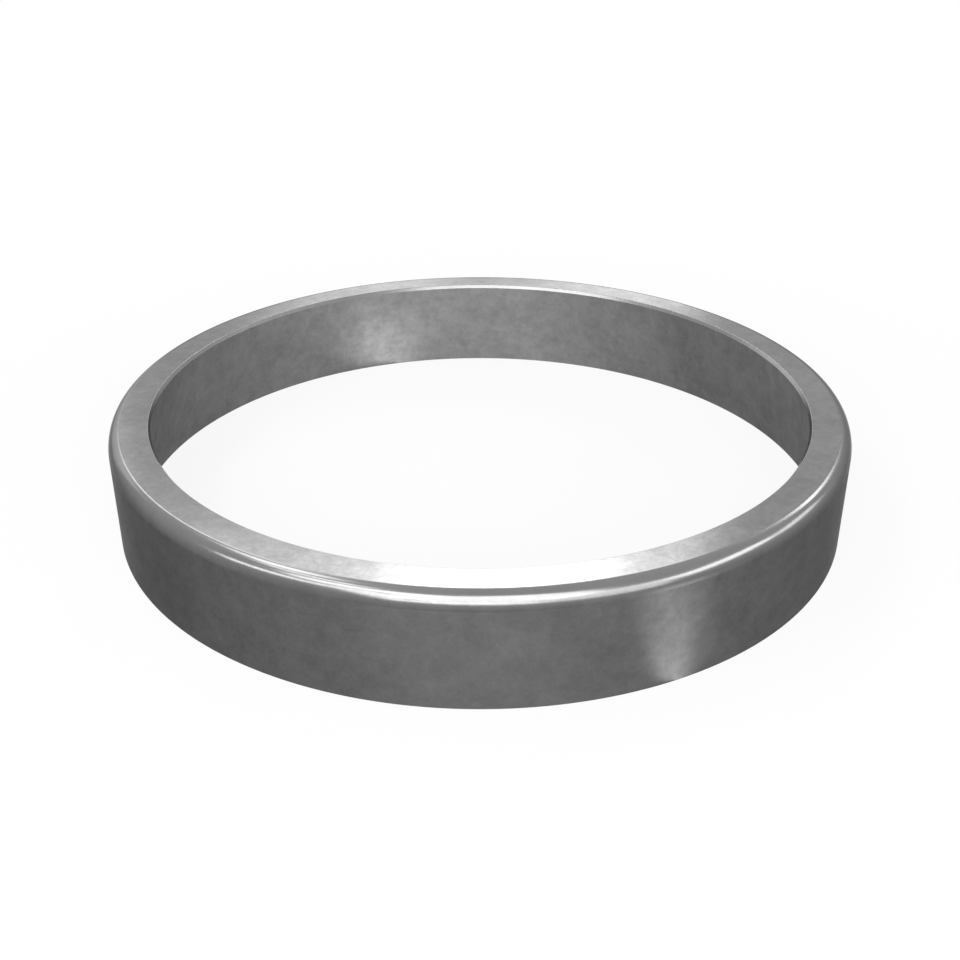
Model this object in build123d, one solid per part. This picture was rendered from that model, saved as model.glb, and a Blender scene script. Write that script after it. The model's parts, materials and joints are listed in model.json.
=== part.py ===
from build123d import *
import os

# A seamless rolled ring, turned and ground all over, in millimetres with +Z up.
# It is one piece. The origin is on its axis, in the plane of the bottom face.
# The thick end of the section, with the large outer corner, is at the top.

outside_diameter = 406.4  # ground outer seat
height = 60.0  # face to face
top_wall = 23.0  # thick end of the section, from the outer seat to the bore
bottom_wall = 9.4  # thin end, where the tapered bore has opened out
corner_radial = 6.5  # large top corner, measured across the face
corner_axial = 8.9  # and down the outer seat
bore_chamfer_radial = 1.6  # lead-in at the small end of the bore
bore_chamfer_axial = 2.0
edge_break = 0.4  # 45 degree break of both bottom edges

outside_radius = outside_diameter / 2
top_bore_radius = outside_radius - top_wall
bottom_bore_radius = outside_radius - bottom_wall


def bore_radius(level):
    """Radius of the tapered bore, which is a straight cone from face to face, at a height above the bottom."""
    opening = bottom_bore_radius - top_bore_radius
    return bottom_bore_radius - opening * level / height


def corner_arc():
    """Quarter ellipse of the large top corner, tangent to the outer seat and to the top face."""
    centre = (outside_radius - corner_radial, height - corner_axial)
    return EllipticalCenterArc(centre, corner_radial, corner_axial, start_angle=0, arc_size=90)


def ring_section():
    """Section of the wall on one side of the axis, drawn with X as the radius and Y as the height."""
    chamfer_foot = height - bore_chamfer_axial
    bore_foot = bore_radius(edge_break)
    with BuildSketch(Plane.XZ) as section:
        with BuildLine():
            corner = corner_arc()
            Polyline(
                corner @ 1,
                (bore_radius(chamfer_foot) + bore_chamfer_radial, height),
                (bore_radius(chamfer_foot), chamfer_foot),
                (bore_foot, edge_break),
                (bore_foot + edge_break, 0),
                (outside_radius - edge_break, 0),
                (outside_radius, edge_break),
                corner @ 0,
            )
        make_face()
    return section.sketch


def rolled_ring():
    """The whole ring: its wall section turned once around the axis."""
    return revolve(ring_section(), Axis.Z)


os.makedirs("parts", exist_ok=True)
export_step(rolled_ring(), "parts/rolled_ring.step")
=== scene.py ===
import json
import math
import bpy
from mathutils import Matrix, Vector


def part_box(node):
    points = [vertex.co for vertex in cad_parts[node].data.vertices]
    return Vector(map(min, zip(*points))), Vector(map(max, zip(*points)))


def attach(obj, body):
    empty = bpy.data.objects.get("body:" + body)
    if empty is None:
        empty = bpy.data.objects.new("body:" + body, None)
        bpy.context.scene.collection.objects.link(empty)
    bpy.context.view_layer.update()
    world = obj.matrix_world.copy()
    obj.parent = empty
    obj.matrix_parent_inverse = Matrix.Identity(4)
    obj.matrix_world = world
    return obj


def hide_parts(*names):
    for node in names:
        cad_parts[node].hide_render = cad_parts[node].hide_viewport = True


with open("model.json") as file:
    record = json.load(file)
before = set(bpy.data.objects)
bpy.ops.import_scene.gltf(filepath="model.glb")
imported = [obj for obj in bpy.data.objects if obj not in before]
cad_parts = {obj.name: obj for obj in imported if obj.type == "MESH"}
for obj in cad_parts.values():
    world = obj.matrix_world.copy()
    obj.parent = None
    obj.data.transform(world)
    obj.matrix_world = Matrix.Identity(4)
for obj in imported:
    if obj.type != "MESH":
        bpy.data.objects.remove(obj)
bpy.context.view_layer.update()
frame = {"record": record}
print("frame loaded")

mm = 0.001
low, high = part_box("rolled_ring")
height = high.z - low.z
seat = next(m for m in frame["record"]["mounts"] if m["name"] == "outer_seat")
outerRadius = seat["dims"]["r_mm"] * mm
middle = Vector((0, 0, low.z + height / 2))


def linear(hexColour):
    # an sRGB hex colour as the linear values that the shader works in
    values = []
    for place in (1, 3, 5):
        part = int(hexColour[place:place + 2], 16) / 255
        values.append(part / 12.92 if part <= 0.04045 else ((part + 0.055) / 1.055) ** 2.4)
    return (*values, 1)


def addNode(tree, kind, settings=(), links=()):
    # one node: its settings go to properties or to sockets, its links come from other nodes' outputs
    node = tree.nodes.new(kind)
    for name, value in dict(settings).items():
        if isinstance(name, str) and hasattr(node, name):
            setattr(node, name, value)
        else:
            node.inputs[name].default_value = value
    for name, output in dict(links).items():
        tree.links.new(output, node.inputs[name])
    return node


# the ring's shape: the section of its wall is drawn flat, then spun once round the axis
ringSizes = {
    "topWall": 23.0 * mm,  # thick end of the section
    "bottomWall": 9.4 * mm,  # thin end, where the tapered bore has opened out
    "cornerAcross": 6.5 * mm,  # the large corner, across the top face
    "cornerDown": 8.9 * mm,  # and down the outer seat
    "cornerSteps": 20,
    "chamferAcross": 1.6 * mm,  # lead-in of the bore
    "chamferDown": 2.0 * mm,
    "edgeBreak": 0.4 * mm,  # both bottom edges
    "topRound": 0.2 * mm,  # where the top face meets the lead-in
    "topRoundSteps": 3,
    "turnSteps": 720,
    "merge": 0.005 * mm,  # points closer than this are one: the seam of the spin
    "touch": 0.02 * mm,  # a point closer than this to a corner of the section is that corner
    "smoothBelow": 25,  # degrees between two faces, past which their edge stays sharp
}


def selectPoints(piece, wanted):
    # in edit mode: selects the vertices for which wanted(place) is true, and nothing else
    bpy.ops.mesh.select_all(action="DESELECT")
    bpy.ops.object.mode_set(mode="OBJECT")
    for vertex in piece.data.vertices:
        vertex.select = wanted(vertex.co)
    bpy.ops.object.mode_set(mode="EDIT")


def near(place, radius, level):
    touch = ringSizes["touch"]
    return abs(place.x - radius) < touch and abs(place.z - level) < touch


def bevelPoints(offset, segments=1):
    bpy.ops.mesh.bevel(
        offset=offset, offset_type="OFFSET", segments=segments, profile=0.5, affect="VERTICES",
    )


def makeRing(sizes):
    # the section is first drawn lower, by this share, and there the elliptical corner is a round one
    squash = sizes["cornerAcross"] / sizes["cornerDown"]
    top = height * squash
    bore = outerRadius - sizes["topWall"]
    bottomBore = outerRadius - sizes["bottomWall"]
    wallMiddle = outerRadius - sizes["topWall"] / 2
    bpy.ops.object.select_all(action="DESELECT")
    bpy.ops.mesh.primitive_plane_add(
        size=1, location=(wallMiddle, 0, top / 2), rotation=(math.radians(90), 0, 0),
    )
    ring = bpy.context.object
    ring.name = "rolledRing"
    ring.scale = (sizes["topWall"], top, 1)
    bpy.ops.object.transform_apply(location=True, rotation=True, scale=True)
    bpy.ops.object.mode_set(mode="EDIT")
    bpy.context.tool_settings.mesh_select_mode = (True, False, False)
    # the large corner
    selectPoints(ring, lambda p: near(p, outerRadius, top))
    bevelPoints(sizes["cornerAcross"], sizes["cornerSteps"])
    bpy.ops.mesh.select_all(action="SELECT")
    bpy.ops.transform.resize(value=(1, 1, 1 / squash), center_override=(0, 0, 0))
    # the tapered bore
    selectPoints(ring, lambda p: near(p, bore, 0))
    bpy.ops.transform.translate(value=(bottomBore - bore, 0, 0))
    # the lead-in: a bevel as wide as it is deep, then drawn in across the face, with its top edge rounded
    selectPoints(ring, lambda p: near(p, bore, height))
    bevelPoints(sizes["chamferDown"])
    selectPoints(ring, lambda p: near(p, bore + sizes["chamferDown"], height))
    bpy.ops.transform.translate(value=(sizes["chamferAcross"] - sizes["chamferDown"], 0, 0))
    selectPoints(ring, lambda p: near(p, bore + sizes["chamferAcross"], height))
    bevelPoints(sizes["topRound"], sizes["topRoundSteps"])
    # both bottom edges
    selectPoints(ring, lambda p: abs(p.z) < sizes["touch"])
    bevelPoints(sizes["edgeBreak"])
    # only the outline is spun, so that no wall is left inside
    bpy.ops.mesh.select_all(action="SELECT")
    bpy.ops.mesh.delete(type="ONLY_FACE")
    bpy.ops.mesh.select_all(action="SELECT")
    bpy.ops.mesh.spin(
        steps=sizes["turnSteps"], angle=math.radians(360), center=(0, 0, 0), axis=(0, 0, 1),
    )
    bpy.ops.mesh.select_all(action="SELECT")
    bpy.ops.mesh.remove_doubles(threshold=sizes["merge"])
    bpy.ops.mesh.normals_make_consistent(inside=False)
    bpy.ops.object.mode_set(mode="OBJECT")
    bpy.ops.object.shade_smooth_by_angle(angle=math.radians(sizes["smoothBelow"]))
    bpy.ops.object.modifier_add(type="WEIGHTED_NORMAL")
    ring.modifiers[-1].keep_sharp = True
    bpy.ops.object.modifier_apply(modifier=ring.modifiers[-1].name)
    return ring


ring = makeRing(ringSizes)
print("ring spun:", len(ring.data.polygons), "faces")

# the steel is one forging, but each surface is finished by another tool, and so has its own gloss; its grey
# differs from surface to surface as painted shade and light, darkest on the seat and bore, lightest on the
# corner, face and lead-in
steel = {
    "clouds": (45 * mm, 0.7),  # size and strength of what heat treatment and oil left on the steel
    "blotches": (8 * mm, 0.8),  # and of the blotches of a ground surface
    "flecks": (1.6 * mm, 0.45),  # and of its grain, which is finer on the real ring
    "mottle": {"Detail": 2, "Roughness": 0.8, "Distortion": 0.3},  # the noise behind all three
    "greyRange": (0.57, 1.37),  # their sum where the steel is darkest and lightest
    "layLength": 60 * mm,  # how far one grinding line runs round the ring
    "layPitch": 0.9 * mm,  # real grinding lines are finer: drawn this coarse so that they show
    "layDepth": 0.0015 * mm,
    "wave": 2.6 * mm,  # slight waviness of the surface
    "waveDepth": 0.004 * mm,
    "blend": 0.4,  # the seat's grinding fades out over this share of the corner's height
    "blendRough": 0.45,
}
# each finish: its dark and light grey, its roughness and the spread of that, how far the lay stretches a
# highlight, and how much of its brightness the steel keeps where it is seen nearly edge on.
# These values and the lamps' below were found together by a fitting program, and then rounded
finishes = {
    # ground on its outside: satin, with soft highlights drawn out up and down; its dark grey is painted
    # shade, darker than the rest of the steel
    "groundSeatSteelPaintedShade": {
        "dark": "#4c4c4c", "light": "#626262", "rough": 0.48, "spread": 0.03, "lay": 0.81, "edge": 0.5,
    },
    # turned with a form tool and polished: bright, with crisp lines of light that run round the ring
    "turnedCornerSteel": {
        "dark": "#818181", "light": "#898989", "rough": 0.2, "spread": 0.015, "lay": 0, "edge": 0.46,
        "from": "groundSeatSteelPaintedShade",  # the finish that it passes over into at its lower end
    },
    # ground flat: almost a mirror, faintly clouded, that goes from mid grey to white with what it faces
    "groundFaceSteel": {
        "dark": "#737373", "light": "#939393", "rough": 0.16, "spread": 0.015, "lay": 0, "edge": 0.8,
    },
    # ground inside: a satin mid grey, with wide soft bands of light
    "groundBoreSteel": {
        "dark": "#666666", "light": "#828282", "rough": 0.52, "spread": 0.04, "lay": 0.95, "edge": 0.5,
    },
    # a turned lead-in: a thin even line, bright where it faces the light
    "turnedChamferSteel": {
        "dark": "#7a7a7a", "light": "#868686", "rough": 0.26, "spread": 0.01, "lay": 0, "edge": 0.8,
    },
}


def mixGreys(tree, finish, amount):
    # from the finish's dark grey at 0 to its light grey at 1
    colour = addNode(tree, "ShaderNodeMix", {"data_type": "RGBA"}, {0: amount})
    colour.inputs[6].default_value = linear(finish["dark"])
    colour.inputs[7].default_value = linear(finish["light"])
    return colour.outputs[2]


def makeSteel(name, finish):
    material = bpy.data.materials.new(name)
    material.use_nodes = True
    tree = material.node_tree
    shader = tree.nodes["Principled BSDF"]
    place = addNode(tree, "ShaderNodeTexCoord").outputs["Object"]
    mottle = None
    for size, strength in (steel["clouds"], steel["blotches"], steel["flecks"]):
        noise = addNode(tree, "ShaderNodeTexNoise", {"Scale": 1 / size} | steel["mottle"],
                        {"Vector": place}).outputs["Fac"]
        added = addNode(tree, "ShaderNodeMath", {"operation": "MULTIPLY_ADD", 1: strength, 2: 0}, {0: noise})
        if mottle:
            tree.links.new(mottle, added.inputs[2])
        mottle = added.outputs[0]
    darkest, lightest = steel["greyRange"]
    limits = {"From Min": darkest, "From Max": lightest}
    shade = addNode(tree, "ShaderNodeMapRange", limits, {"Value": mottle}).outputs[0]
    colour = mixGreys(tree, finish, shade)
    dull = finish["rough"] + finish["spread"]
    bright = finish["rough"] - finish["spread"]
    gloss = addNode(tree, "ShaderNodeMapRange", limits | {"To Min": dull, "To Max": bright},
                    {"Value": mottle}).outputs[0]
    if "from" in finish:
        # up the corner, the seat's painted-shade grey passes over into the corner's, so the corner is darker
        # towards its foot, and the seat's grinding fades out
        below = mixGreys(tree, finishes[finish["from"]], shade)
        level = addNode(tree, "ShaderNodeSeparateXYZ", {}, {0: place}).outputs[2]
        foot = high.z - ringSizes["cornerDown"]
        rise = addNode(tree, "ShaderNodeMapRange", {"From Min": foot, "From Max": high.z},
                       {"Value": level}).outputs[0]
        colour = addNode(tree, "ShaderNodeMix", {"data_type": "RGBA"},
                         {0: rise, 6: below, 7: colour}).outputs[2]
        fade = addNode(tree, "ShaderNodeMapRange", {"From Min": 0, "From Max": steel["blend"]},
                       {"Value": rise}).outputs[0]
        gloss = addNode(tree, "ShaderNodeMix", {"data_type": "FLOAT", 2: steel["blendRough"]},
                        {0: fade, 3: gloss}).outputs[0]
    tree.links.new(colour, shader.inputs["Base Color"])
    tree.links.new(gloss, shader.inputs["Roughness"])
    # grinding lines: fine across the lay, long round the ring
    parts = addNode(tree, "ShaderNodeSeparateXYZ", {}, {0: place}).outputs
    flat = addNode(tree, "ShaderNodeCombineXYZ", {}, {0: parts[0], 1: parts[1]}).outputs[0]
    radius = addNode(tree, "ShaderNodeVectorMath", {"operation": "LENGTH"}, {0: flat}).outputs["Value"]
    across = addNode(tree, "ShaderNodeMath", {"operation": "ADD"}, {0: radius, 1: parts[2]}).outputs[0]
    finer = steel["layLength"] / steel["layPitch"]
    fine = addNode(tree, "ShaderNodeMath", {"operation": "MULTIPLY", 1: finer}, {0: across}).outputs[0]
    stretched = addNode(tree, "ShaderNodeCombineXYZ", {}, {0: parts[0], 1: parts[1], 2: fine}).outputs[0]
    lay = {"Scale": 1 / steel["layLength"], "Detail": 2, "Roughness": 0.7}
    lines = addNode(tree, "ShaderNodeTexNoise", lay, {"Vector": stretched}).outputs["Fac"]
    waves = addNode(tree, "ShaderNodeTexNoise", {"Scale": 1 / steel["wave"], "Detail": 2},
                    {"Vector": place}).outputs["Fac"]
    wavy = addNode(tree, "ShaderNodeBump", {"Strength": 1, "Distance": steel["waveDepth"]},
                   {"Height": waves}).outputs[0]
    ground = addNode(tree, "ShaderNodeBump", {"Strength": 1, "Distance": steel["layDepth"]},
                     {"Height": lines, "Normal": wavy}).outputs[0]
    tree.links.new(ground, shader.inputs["Normal"])
    shader.inputs["Metallic"].default_value = 1
    shader.inputs["Specular Tint"].default_value = (finish["edge"],) * 3 + (1,)
    if finish["lay"]:
        shader.inputs["Anisotropic"].default_value = finish["lay"]
        shader.inputs["Anisotropic Rotation"].default_value = 0.25  # highlights stretch across the lay
        tangent = addNode(tree, "ShaderNodeTangent", {"direction_type": "RADIAL", "axis": "Z"})
        tree.links.new(tangent.outputs[0], shader.inputs["Tangent"])
    return material


def finishOf(face):
    # which tool made the surface that this face lies on, told by where the face points
    radius = math.hypot(face.center.x, face.center.y)
    outward = (face.normal.x * face.center.x + face.normal.y * face.center.y) / radius
    if outward > 0.999:  # straight out
        return "groundSeatSteelPaintedShade"
    if abs(face.normal.z) > 0.9999:  # straight up or down
        return "groundFaceSteel"
    if outward > 0:
        return "turnedCornerSteel"
    if outward < -0.95 and face.normal.z < 0.001:  # inwards and a little down
        return "groundBoreSteel"
    return "turnedChamferSteel"


ring.data.materials.clear()
for name, finish in finishes.items():
    ring.data.materials.append(makeSteel(name, finish))
for face in ring.data.polygons:
    face.material_index = list(finishes).index(finishOf(face))
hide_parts("rolled_ring")
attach(ring, "root")
print("steel finished")

# floor and surroundings
surroundings = {
    "floorSize": 8,
    "paper": "#efefef",
    "whiteAtRing": 0.88,  # share of the paper's white that is its own, not the lamps', beside the ring
    "ringReach": 1.1 * outerRadius,  # how far out that holds
    "whiteReach": 2.5 * outerRadius,  # from here on all of the white is the paper's own
    "ambient": 0.05,  # the light that the room itself adds
}
bpy.ops.object.select_all(action="DESELECT")
bpy.ops.mesh.primitive_plane_add(size=surroundings["floorSize"], location=(0, 0, low.z))
floor = bpy.context.object
floor.name = "floor"
paper = bpy.data.materials.new("palePaper")
paper.use_nodes = True
paper.cycles.emission_sampling = "NONE"
tree = paper.node_tree
tree.nodes["Principled BSDF"].inputs["Base Color"].default_value = linear(surroundings["paper"])
tree.nodes["Principled BSDF"].inputs["Roughness"].default_value = 1


def seenDirectly(tree):
    # 1 for what the camera, a mirror or a glass sees, 0 for the light that falls on things
    path = addNode(tree, "ShaderNodeLightPath").outputs
    seen = addNode(tree, "ShaderNodeMath", {"operation": "MAXIMUM"},
                   {0: path["Is Camera Ray"], 1: path["Is Glossy Ray"]}).outputs[0]
    return addNode(tree, "ShaderNodeMath", {"operation": "MAXIMUM"},
                   {0: seen, 1: path["Is Transmission Ray"]}).outputs[0]


# the paper is white by itself, and fully so away from the ring, where no shadow falls
place = addNode(tree, "ShaderNodeTexCoord").outputs["Object"]
reach = addNode(tree, "ShaderNodeVectorMath", {"operation": "LENGTH"}, {0: place}).outputs["Value"]
ends = {
    "From Min": surroundings["ringReach"], "From Max": surroundings["whiteReach"],
    "To Min": surroundings["whiteAtRing"], "To Max": 1,
}
glow = addNode(tree, "ShaderNodeMapRange", ends, {"Value": reach}).outputs[0]
part = addNode(tree, "ShaderNodeMath", {"operation": "MULTIPLY"}, {0: seenDirectly(tree), 1: glow})
white = addNode(tree, "ShaderNodeEmission", {"Color": (1, 1, 1, 1), "Strength": 1.0})
mix = addNode(tree, "ShaderNodeMixShader", {},
              {0: part.outputs[0], 1: tree.nodes["Principled BSDF"].outputs[0], 2: white.outputs[0]})
tree.links.new(mix.outputs[0], tree.nodes["Material Output"].inputs["Surface"])
floor.data.materials.append(paper)

world = bpy.data.worlds.new("studio")
bpy.context.scene.world = world
world.use_nodes = True
world.cycles.sampling_method = "NONE"
tree = world.node_tree
level = addNode(tree, "ShaderNodeMapRange", {"To Min": surroundings["ambient"], "To Max": 1},
                {"Value": seenDirectly(tree)})
tree.nodes["Background"].inputs["Color"].default_value = (1, 1, 1, 1)
tree.links.new(level.outputs[0], tree.nodes["Background"].inputs["Strength"])
print("floor and surroundings laid")


def aim(thing, place, target):
    # a lamp or a camera looks along its own -Z
    thing.location = place
    thing.rotation_euler = (Vector(target) - Vector(place)).to_track_quat("-Z", "Y").to_euler()


def around(azimuth, elevation, distance):
    # azimuth 0 is towards the camera, 90 to the right
    a, e = math.radians(azimuth), math.radians(elevation)
    return Vector((math.sin(a) * math.cos(e), -math.cos(a) * math.cos(e), math.sin(e))) * distance


def makeLamp(name, shape, width, tall, radiance):
    # an area lamp whose face is as bright as the radiance says, whatever its size
    light = bpy.data.lights.new(name, "AREA")
    light.shape = shape
    light.size, light.size_y = width, tall
    light.energy = radiance * math.pi * width * tall
    if shape == "ELLIPSE":
        light.energy *= math.pi / 4
    box = bpy.data.objects.new(name, light)
    bpy.context.scene.collection.objects.link(box)
    box.visible_camera = False
    return box


# the lamps' places, sizes and strengths come from a fitting program, rounded, and weren't set one by one
lampDistance = 2.0  # from the middle of the ring
lamps = {
    # name: shape, azimuth and elevation in degrees, width and height in metres, roll in degrees, radiance
    "frontBox": ("ELLIPSE", 4, 32.7, 1.86, 1.38, 10, 4.2),
    "leftFrontBox": ("RECTANGLE", -30, 25.1, 0.81, 0.47, -49, 4.4),
    "leftLowBox": ("RECTANGLE", -58, 21, 1.1, 0.2, 21, 6.3),
    "leftHighBox": ("RECTANGLE", -65, 55, 0.86, 0.15, 21, 6.5),
    "leftTopStrip": ("RECTANGLE", -108, 60.1, 0.77, 0.56, 11, 4),
    "leftBackStrip": ("RECTANGLE", -149, 41.5, 0.25, 1.04, 6, 3.2),
    "rightBox": ("RECTANGLE", 69, 18.2, 1.16, 0.47, 10, 4.5),
    "rightSideBox": ("RECTANGLE", 98, 16.9, 0.66, 0.4, 10, 3),
    "rightBackBox": ("RECTANGLE", 140, 34.3, 0.67, 0.23, -6, 5.8),
    "backBox": ("RECTANGLE", -177, 39, 1.2, 0.45, 6, 1.9),
    "backRightStrip": ("RECTANGLE", 178, 21.6, 0.85, 0.16, 20, 2.4),
    "frontLowBox": ("RECTANGLE", -4, 11.2, 1.5, 0.25, -3, 5.7),
    "rightFrontBox": ("RECTANGLE", 35, 15.4, 1.16, 0.9, -10, 2.7),
    "leftBackBox": ("RECTANGLE", -139, 14.8, 1.18, 1.12, -3, 0.8),
    "leftShoulderBox": ("RECTANGLE", -39, 43.7, 1.21, 0.44, 10, 4.6),
    "backLeftStrip": ("RECTANGLE", -172, 20.2, 0.47, 0.22, 41, 1.3),
    "backInnerBox": ("ELLIPSE", 179, 39.4, 0.6, 0.42, 18, 3.4),
}
for name, (shape, azimuth, elevation, width, tall, roll, radiance) in lamps.items():
    box = makeLamp(name, shape, width, tall, radiance)
    aim(box, middle + around(azimuth, elevation, lampDistance), middle)
    box.rotation_euler.rotate_axis("Z", math.radians(roll))

# two short strips that lie on the floor and face up: one from the seat outwards, one from the bore inwards
stripLift = 0.5 * mm
fullAlong = 0.35  # a strip keeps its full strength over this share of its length
floorStrips = {
    # name: azimuth, distance from the axis, length, width at the near end and at the far end,
    # azimuth it points to, radiance
    "seatStrip": (36.4, 0.293, 0.2, 0.026, 0.14, 59.5, 4.7),
    "boreStrip": (-165, 0.143, 0.1, 0.075, 0.05, 36, 3.6),
}


def softenStrip(light, nearShare, farShare):
    # at its ends the light fills these shares of the strip's width, and it fades out towards its sides and
    # its far end
    light.use_nodes = True
    tree = light.node_tree
    spot = addNode(tree, "ShaderNodeNewGeometry").outputs["Parametric"]
    along, across = addNode(tree, "ShaderNodeSeparateXYZ", {}, {0: spot}).outputs[:2]
    half = addNode(tree, "ShaderNodeMapRange", {"To Min": nearShare / 2, "To Max": farShare / 2},
                   {"Value": along}).outputs[0]
    aside = addNode(tree, "ShaderNodeMath", {"operation": "SUBTRACT", 1: 0.5}, {0: across}).outputs[0]
    off = addNode(tree, "ShaderNodeMath", {"operation": "ABSOLUTE"}, {0: aside}).outputs[0]
    share = addNode(tree, "ShaderNodeMath", {"operation": "DIVIDE"}, {0: off, 1: half}).outputs[0]
    soft = {"interpolation_type": "SMOOTHSTEP", "From Min": 1}
    sides = addNode(tree, "ShaderNodeMapRange", soft | {"From Max": 0}, {"Value": share}).outputs[0]
    far = addNode(tree, "ShaderNodeMapRange", soft | {"From Max": fullAlong}, {"Value": along}).outputs[0]
    fade = addNode(tree, "ShaderNodeMath", {"operation": "MULTIPLY"}, {0: sides, 1: far}).outputs[0]
    tree.links.new(fade, tree.nodes["Emission"].inputs["Strength"])


for name, (azimuth, away, long, nearWide, farWide, towards, radiance) in floorStrips.items():
    wide = max(nearWide, farWide)
    box = makeLamp(name, "RECTANGLE", long, wide, radiance)
    softenStrip(box.data, nearWide / wide, farWide / wide)
    box.location = around(azimuth, 0, away) + Vector((0, 0, low.z + stripLift))
    box.rotation_euler = (math.pi, 0, math.radians(towards - 90))  # turned over: a lamp shines down
print("lamps placed")

view = {
    "elevation": 26.72,
    "distance": 3.512,  # times the ring's outer radius, from its mid-height
    "aimDrop": 0.122,  # times the outer radius, below mid-height
    "lens": 46.64,
    "sensor": 36,
}
camera = bpy.data.objects.new("camera", bpy.data.cameras.new("camera"))
bpy.context.scene.collection.objects.link(camera)
camera.data.sensor_width = view["sensor"]
camera.data.lens = view["lens"]
aim(camera, middle + around(0, view["elevation"], view["distance"] * outerRadius),
    middle - Vector((0, 0, view["aimDrop"] * outerRadius)))
bpy.context.scene.camera = camera
bpy.context.scene.view_settings.view_transform = "Standard"
